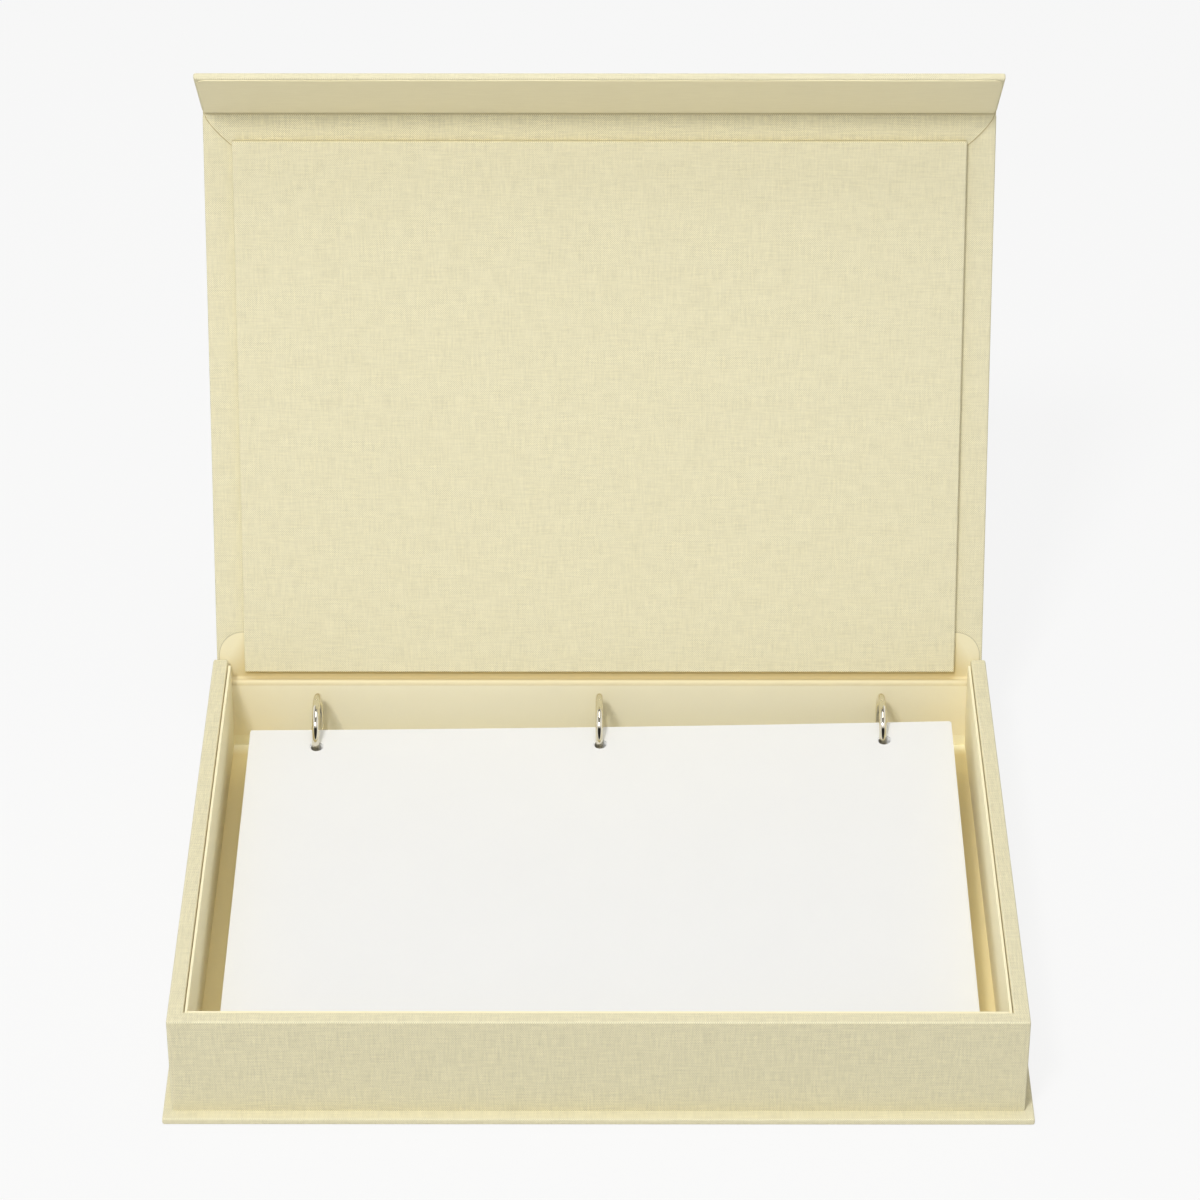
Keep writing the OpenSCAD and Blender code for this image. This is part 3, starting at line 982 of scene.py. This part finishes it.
def new_material(name, **values):
    """A material with one shader, whose plain values are set on the shader itself."""
    material = bpy.data.materials.new(name)
    material.use_nodes = True
    shader = material.node_tree.nodes["Principled BSDF"]
    for key, value in values.items():
        shader.inputs[key.replace("_", " ")].default_value = value
    return material, material.node_tree, shader


def add(tree, kind, **settings):
    """Adds a node and sets it."""
    node = tree.nodes.new(kind)
    for key, value in settings.items():
        setattr(node, key, value)
    return node


def put(tree, value, socket):
    """Joins a socket to another, or writes a number on it."""
    if isinstance(value, bpy.types.NodeSocket):
        tree.links.new(value, socket)
    else:
        socket.default_value = value


def sums(tree, operation, a, b=0.0, c=0.0):
    """One sum of two or three values."""
    node = add(tree, "ShaderNodeMath", operation=operation)
    for value, socket in zip((a, b, c), node.inputs):
        put(tree, value, socket)
    return node.outputs[0]


def stretched(tree, place, scale, detail=2.0, rough=0.5):
    """Noise that is stretched along the axes: scale is how often it changes in a metre."""
    mapping = add(tree, "ShaderNodeMapping")
    tree.links.new(place, mapping.inputs["Vector"])
    mapping.inputs["Scale"].default_value = scale
    noise = add(tree, "ShaderNodeTexNoise")
    tree.links.new(mapping.outputs[0], noise.inputs["Vector"])
    noise.inputs["Scale"].default_value = 1
    noise.inputs["Detail"].default_value = detail
    noise.inputs["Roughness"].default_value = rough
    return noise.outputs[0]


def mixed(tree, factor, a, b, blend="MIX"):
    """Mixes two colours."""
    node = add(tree, "ShaderNodeMix", data_type="RGBA", blend_type=blend)
    put(tree, factor, node.inputs[0])
    put(tree, a, node.inputs[6])
    put(tree, b, node.inputs[7])
    return node.outputs[2]


def parted(tree, vector):
    """The X, Y and Z of a vector."""
    node = add(tree, "ShaderNodeSeparateXYZ")
    tree.links.new(vector, node.inputs[0])
    return node.outputs


def mark(tree, name):
    """The mark of that name on a piece, such as rubbed edges or painted shade, from 0 to 1."""
    return add(tree, "ShaderNodeAttribute", attribute_name=name).outputs["Fac"]


def ramp(tree, value, low, high, at_low, at_high, way="LINEAR"):
    """A number that goes from at_low to at_high while value goes from low to high."""
    node = add(tree, "ShaderNodeMapRange", interpolation_type=way)
    for number, socket in zip((value, low, high, at_low, at_high), node.inputs):
        put(tree, number, socket)
    return node.outputs[0]


def bump(tree, shader, height, distance, strength=1.0):
    """Turns a height into small hollows and rises of the given depth in millimetres."""
    node = add(tree, "ShaderNodeBump")
    tree.links.new(height, node.inputs["Height"])
    node.inputs["Distance"].default_value = distance * MM
    node.inputs["Strength"].default_value = strength
    tree.links.new(node.outputs[0], shader.inputs["Normal"])


def give(material, *pieces):
    """Gives a material to pieces, in place of what they had."""
    for piece in pieces:
        piece.data.materials.clear()
        piece.data.materials.append(material)


# %% [markdown]
# ## Woven book cloth
#
# The covers are a fine plain weave in cream, with a thread every 0.42 mm. Where a thread goes
# over another it makes a small crown, and going under it makes a hollow, so the crowns stand
# like the squares of a chessboard. Two sine waves multiplied give just that. Real threads
# are also thicker in places, which shows as short faint streaks both ways. Rubbed edges are
# a shade lighter. Open edges and the fold's valley get painted shade, darker and browner.

# %% The woven cloth's material
THREAD = 0.42


def woven_cloth(name, tone, warm):
    """Cream plain weave: tone is its colour and warm the colour of its hollows."""
    material, tree, shader = new_material(
        name, Roughness=0.88, Sheen_Weight=0.12, Sheen_Roughness=0.5, Specular_IOR_Level=0.2)
    place = add(tree, "ShaderNodeUVMap").outputs[0]
    split = parted(tree, place)
    often = math.pi / (THREAD * MM)
    across = sums(tree, "SINE", sums(tree, "MULTIPLY", split[0], often))
    along = sums(tree, "SINE", sums(tree, "MULTIPLY", split[1], often))
    over = sums(tree, "MULTIPLY", across, along)
    crown = sums(tree, "POWER", sums(tree, "ABSOLUTE", over), 0.6)
    streak_a = stretched(tree, place, (110, 1400, 1))
    streak_b = stretched(tree, place, (1400, 110, 1))
    streaks = sums(tree, "ADD", streak_a, streak_b)
    cloud = stretched(tree, place, (14, 14, 14), 3.0)
    speck = stretched(tree, place, (900, 900, 1), 1.0)
    light = sums(tree, "MULTIPLY_ADD", streaks, 0.30, -0.30)
    light = sums(tree, "MULTIPLY_ADD", over, 0.26, light)
    light = sums(tree, "MULTIPLY_ADD", speck, 0.12, light)
    light = sums(tree, "ADD", light, 0.95)
    brightness = add(tree, "ShaderNodeCombineColor")
    for socket in brightness.inputs:
        tree.links.new(light, socket)
    depth = mixed(tree, crown, warm, tone)
    shade = mixed(tree, sums(tree, "MULTIPLY", cloud, 0.22), depth, warm)
    threads = mixed(tree, 1.0, shade, brightness.outputs[0], "MULTIPLY")
    patch = stretched(tree, place, (160, 160, 160), 3.0)
    wear = sums(tree, "MULTIPLY", mark(tree, "rubbed"), sums(tree, "MULTIPLY", patch, 0.6))
    lighter = [min(1, x * 1.08) for x in tone[:3]] + [1]
    # Painted shade: open edges and the fold's valley turn darker and browner.
    cut = mark(tree, "cut")
    edge_shade_colour = (warm[0] * 0.70, warm[1] * 0.62, warm[2] * 0.46, 1)
    cloth = mixed(tree, wear, threads, lighter)
    tree.links.new(mixed(tree, cut, cloth, edge_shade_colour), shader.inputs["Base Color"])
    height = sums(tree, "MULTIPLY_ADD", streaks, 0.8, crown)
    bump(tree, shader, height, 0.09)
    return material


cover_cloth = woven_cloth("woven book cloth", (0.845, 0.79, 0.56, 1), (0.765, 0.70, 0.455, 1))
give(cover_cloth, base_cover, wall_cover, spine_sheet, lid_cover, panel_cover)
give(cover_cloth, fold_end, fold_inside, flap_cover, fold_outside)
print("threads of the book cloth in a centimetre:", round(10 / THREAD, 1))

# %% [markdown]
# ## Smooth lining
#
# The linings are a finer, paper-backed cloth, a little warmer than the covers and almost
# smooth, with only a faint grain and slow changes of tone where the glue lies thicker. It is
# one cloth, but each layer gets its own tone as painted light and shade. The rear wall's is
# lighter, and the lid's, the flap card's and the floor's are darker. The cloth gets painted
# shade in the crease, on the crest of the hinge lining's loop and under the lid's panel. It
# gets painted light where the floor's cloth turns up at the rear.

# %% The lining's material


def smooth_lining(name, tone, warm, pale_from=1.0, pale_to=2.0):
    """Nearly smooth cream paper cloth, with painted light making it paler where Y passes from
    pale_from to pale_to.
    """
    material, tree, shader = new_material(
        name, Roughness=0.8, Sheen_Weight=0.08, Sheen_Roughness=0.5, Specular_IOR_Level=0.25)
    place = add(tree, "ShaderNodeTexCoord").outputs["Object"]
    grain = stretched(tree, place, (1600, 1600, 1600), 2.0)
    fibre = stretched(tree, place, (120, 900, 900), 2.0)
    cloud = stretched(tree, place, (22, 22, 22), 3.0)
    factor = sums(tree, "MULTIPLY_ADD", grain, 0.5, sums(tree, "MULTIPLY", cloud, 0.4))
    shade = mixed(tree, factor, warm, tone)
    # Painted light: the floor's cloth is paler where it turns up at the rear wall.
    painted_upstand_light = ramp(tree, parted(tree, place)["Y"], pale_from, pale_to, 0.0, 1.0)
    shade = mixed(tree, painted_upstand_light, shade, (1, 0.96, 0.74, 1))
    lighter = [min(1, x * 1.06) for x in tone[:3]] + [1]
    wear = sums(tree, "MULTIPLY", mark(tree, "rubbed"), sums(tree, "MULTIPLY", fibre, 0.8))
    # Painted shade: darker and browner along open edges.
    cut = mark(tree, "cut")
    edge = [x * 0.72 for x in warm[:3]] + [1]
    # Painted shade: darker and browner in the crease and under the lid's panel.
    crease_shade_colour = (tone[0] * 0.72, tone[1] * 0.64, tone[2] * 0.45, 1)
    shade = mixed(tree, mark(tree, "crease"), shade, crease_shade_colour)
    cloth = mixed(tree, wear, shade, lighter)
    tree.links.new(mixed(tree, cut, cloth, edge), shader.inputs["Base Color"])
    height = sums(tree, "ADD", grain, sums(tree, "MULTIPLY", fibre, 0.7))
    bump(tree, shader, height, 0.04)
    return material


# One lining cloth in four tones, as painted light and shade: lighter on the rear wall, darker on
# the lid, the flap card and the floor.
lining_cloth = smooth_lining("smooth lining", (0.94, 0.87, 0.61, 1), (0.90, 0.82, 0.54, 1))
give(lining_cloth, front_card, left_card, right_card)
painted_light_lining = smooth_lining("hinge lining", (0.985, 0.925, 0.70, 1), (0.965, 0.895, 0.65, 1))
give(painted_light_lining, hinge_sheet)
painted_shade_lining = smooth_lining("lid lining", (0.885, 0.815, 0.565, 1), (0.85, 0.77, 0.51, 1))
give(painted_shade_lining, hinge_end, flap_card)
painted_floor_tones = ((0.88, 0.775, 0.46, 1), (0.84, 0.73, 0.41, 1))
painted_floor_lining = smooth_lining("floor lining", *painted_floor_tones, 112 * MM, 118 * MM)
give(painted_floor_lining, frame["nodes"]["floor_lining"])
linings = (lining_cloth, painted_light_lining, painted_shade_lining, painted_floor_lining)
print("tones of lining:", [material.name for material in linings])

# %% [markdown]
# ## Paper, board and metal
#
# The pages are a slightly cool white with a soft fibrous surface. Greyboard is pressed waste
# paper, grey with light and dark specks. The rings are plated in a pale warm metal and
# polished, and the mechanism under the pages is plain nickel-plated steel with rolling
# marks along it. The magnets are dull and dark.

# %% Paper and greyboard


def paper(name, tone):
    """Smooth thick paper."""
    material, tree, shader = new_material(name, Roughness=0.62, Specular_IOR_Level=0.35)
    place = add(tree, "ShaderNodeTexCoord").outputs["Object"]
    fibre = stretched(tree, place, (700, 2200, 2200), 3.0)
    cloud = stretched(tree, place, (30, 30, 30), 2.0)
    darker = [x * 0.965 for x in tone[:3]] + [1]
    factor = sums(tree, "MULTIPLY_ADD", fibre, 0.5, sums(tree, "MULTIPLY", cloud, 0.5))
    tree.links.new(mixed(tree, factor, darker, tone), shader.inputs["Base Color"])
    bump(tree, shader, fibre, 0.015)
    return material


def greyboard(name):
    """Pressed grey board with specks."""
    material, tree, shader = new_material(name, Roughness=0.92, Specular_IOR_Level=0.15)
    place = add(tree, "ShaderNodeTexCoord").outputs["Object"]
    specks = stretched(tree, place, (1100, 1100, 1100), 4.0, 0.7)
    layers = stretched(tree, place, (60, 60, 4000), 2.0)
    factor = sums(tree, "MULTIPLY_ADD", specks, 0.7, sums(tree, "MULTIPLY", layers, 0.3))
    tone = mixed(tree, factor, (0.16, 0.15, 0.135, 1), (0.42, 0.40, 0.37, 1))
    tree.links.new(tone, shader.inputs["Base Color"])
    bump(tree, shader, specks, 0.06)
    return material


page_paper = paper("page paper", (0.835, 0.838, 0.842, 1))
give(page_paper, top_sheet, page_pile)
board = greyboard("greyboard")
for node in ("base_board", "front_board", "left_board", "right_board", "rear_board",
             "lid_board", "panel_board", "flap_board"):
    give(board, frame["nodes"][node])
print("paper and board:", page_paper.name, "and", board.name)

# %% Ring metal, steel and magnets


def metal(name, tone, rough, marks, spread):
    """Plated metal with fine marks: marks is how often they change in a metre, each way."""
    material, tree, shader = new_material(name, Metallic=1.0)
    place = add(tree, "ShaderNodeTexCoord").outputs["Object"]
    scratches = stretched(tree, place, marks, 3.0)
    cloud = stretched(tree, place, (150, 150, 150), 2.0)
    darker = [x * 0.86 for x in tone[:3]] + [1]
    tree.links.new(mixed(tree, cloud, darker, tone), shader.inputs["Base Color"])
    roughness = sums(tree, "MULTIPLY_ADD", scratches, spread, rough - spread / 2)
    tree.links.new(roughness, shader.inputs["Roughness"])
    bump(tree, shader, scratches, 0.004)
    return material


plated = metal("warm plated wire", (0.84, 0.79, 0.65, 1), 0.05, (700, 700, 700), 0.05)
steel = metal("rolled steel", (0.62, 0.62, 0.61, 1), 0.34, (40, 2500, 2500), 0.2)
dull = metal("dull magnet", (0.30, 0.30, 0.31, 1), 0.5, (600, 600, 600), 0.2)
for piece in bpy.data.objects:
    if "_hoop_" in piece.name:
        give(plated, piece)
for node in ("ring_cover", "ring_rivets", "front_blade", "rear_blade"):
    give(steel, frame["nodes"][node])
for node in ("flap_magnets", "wall_magnets"):
    give(dull, frame["nodes"][node])
for node in frame["nodes"].values():
    if node.type == "MESH" and not node.hide_render:
        print(node.name, [slot.material.name for slot in node.material_slots])

# %% [markdown]
# ## The studio
#
# The box stands on a pale floor in soft light. A lamp up on the left in front gives the
# gentle shadows under the flap and beside the rings. A weaker one overhead reaches into the
# gaps beside the pages, a wide one in front lifts the front wall, and an even sky fills the
# rest. The background has to come out nearly white, but brighter lamps would bleach the
# cream. So the floor and the sky show the camera, and the metal, a light tone of their own,
# and keep lighting the box with their real one. A share of real floor keeps a faint shadow.
#
# Polished wire looks like metal only if it has something dark to reflect. So the sky shows
# gloss a round dark patch in front and a dim one above, where a studio has its open room,
# and the wide front lamp is left out of reflections. Cream cloth in a narrow gap is lit by
# light that has gone from wall to wall many times, so more bounces than usual are allowed.

# %% The floor
BACKDROP = 0.947
FLOOR_GLOW = 0.99
GLOW_SHARE = 0.86
SKY_LOW = 0.40
SKY_HIGH = 0.50
put_down()
bpy.ops.mesh.primitive_plane_add(size=12, location=(0, 0, -0.0002))
floor = bpy.context.active_object
floor.name = "floor"


def seen_directly(tree):
    """1 for rays from the camera and from gloss, 0 for all others."""
    path = add(tree, "ShaderNodeLightPath")
    seen = sums(tree, "MAXIMUM", path.outputs["Is Camera Ray"], path.outputs["Is Glossy Ray"])
    return sums(tree, "MAXIMUM", seen, path.outputs["Is Transmission Ray"])


floor_paint, tree, shader = new_material("floor", Roughness=0.9, Specular_IOR_Level=0.0)
shader.inputs["Base Color"].default_value = (0.67, 0.67, 0.66, 1)
glow = add(tree, "ShaderNodeEmission")
glow.inputs["Color"].default_value = (1, 1, 1, 1)
glow.inputs["Strength"].default_value = FLOOR_GLOW
blend = add(tree, "ShaderNodeMixShader")
tree.links.new(sums(tree, "MULTIPLY", seen_directly(tree), GLOW_SHARE), blend.inputs[0])
tree.links.new(shader.outputs[0], blend.inputs[1])
tree.links.new(glow.outputs[0], blend.inputs[2])
tree.links.new(blend.outputs[0], tree.nodes["Material Output"].inputs["Surface"])
give(floor_paint, floor)
print("floor in metres:", [round(x, 1) for x in floor.dimensions])

# %% The sky, with its dark patches for gloss
sky = bpy.data.worlds.new("studio")
bpy.context.scene.world = sky
sky.use_nodes = True
tree = sky.node_tree
direction = parted(tree, add(tree, "ShaderNodeTexCoord").outputs["Generated"])
upwards = sums(tree, "MAXIMUM", direction["Z"], 0.0)
lit = sums(tree, "MULTIPLY_ADD", upwards, SKY_HIGH - SKY_LOW, SKY_LOW)
shown = seen_directly(tree)
kept = sums(tree, "SUBTRACT", 1.0, shown)
aside = sums(tree, "MULTIPLY", direction["X"], direction["X"])
above = sums(tree, "SUBTRACT", direction["Z"], 0.40)
above = sums(tree, "MULTIPLY", above, above)
behind = sums(tree, "MAXIMUM", direction["Y"], 0.0)
far_off = sums(tree, "MULTIPLY_ADD", above, 10.0, sums(tree, "MULTIPLY", aside, 1.5))
far_off = sums(tree, "MULTIPLY_ADD", behind, 10.0, far_off)
dark_spot = ramp(tree, far_off, 0.6, 1.1, 0.03, 1.0, "SMOOTHSTEP")
dark_top = ramp(tree, upwards, 0.74, 0.88, 1.0, 0.30, "SMOOTHSTEP")
room = sums(tree, "MULTIPLY", dark_spot, dark_top)
gloss = add(tree, "ShaderNodeLightPath").outputs["Is Glossy Ray"]
missing = sums(tree, "MULTIPLY", gloss, sums(tree, "SUBTRACT", 1.0, room))
left_over = sums(tree, "SUBTRACT", 1.0, missing)
visible = sums(tree, "MULTIPLY", sums(tree, "MULTIPLY", shown, BACKDROP), left_over)
strength = sums(tree, "MULTIPLY_ADD", kept, lit, visible)
tree.links.new(strength, tree.nodes["Background"].inputs["Strength"])
tree.nodes["Background"].inputs["Color"].default_value = (1, 1, 1, 1)
print("sky from", SKY_LOW, "at the horizon to", SKY_HIGH, "overhead")

# %% Lamps


def lamp(name, place, size, power):
    """A square soft lamp that points at the middle of the box."""
    put_down()
    bpy.ops.object.light_add(type="AREA", location=place)
    light = bpy.context.active_object
    light.name = name
    light.data.shape = "SQUARE"
    light.data.size = size
    light.data.energy = power
    aim = Vector((0, 0, 0.08)) - Vector(place)
    light.rotation_euler = aim.to_track_quat("-Z", "Y").to_euler()
    print(name, "at", place, "with", power, "W")


lamp("key lamp", (-0.70, -1.72, 2.56), 0.45, 43)
lamp("overhead lamp", (0, -0.10, 2.40), 0.8, 9.5)
lamp("front fill", (-0.80, -2.25, 1.45), 2.4, 8.5)
bpy.data.objects["front fill"].visible_glossy = False
bpy.context.scene.cycles.max_bounces = 24
bpy.context.scene.cycles.diffuse_bounces = 16
bpy.context.view_layer.update()
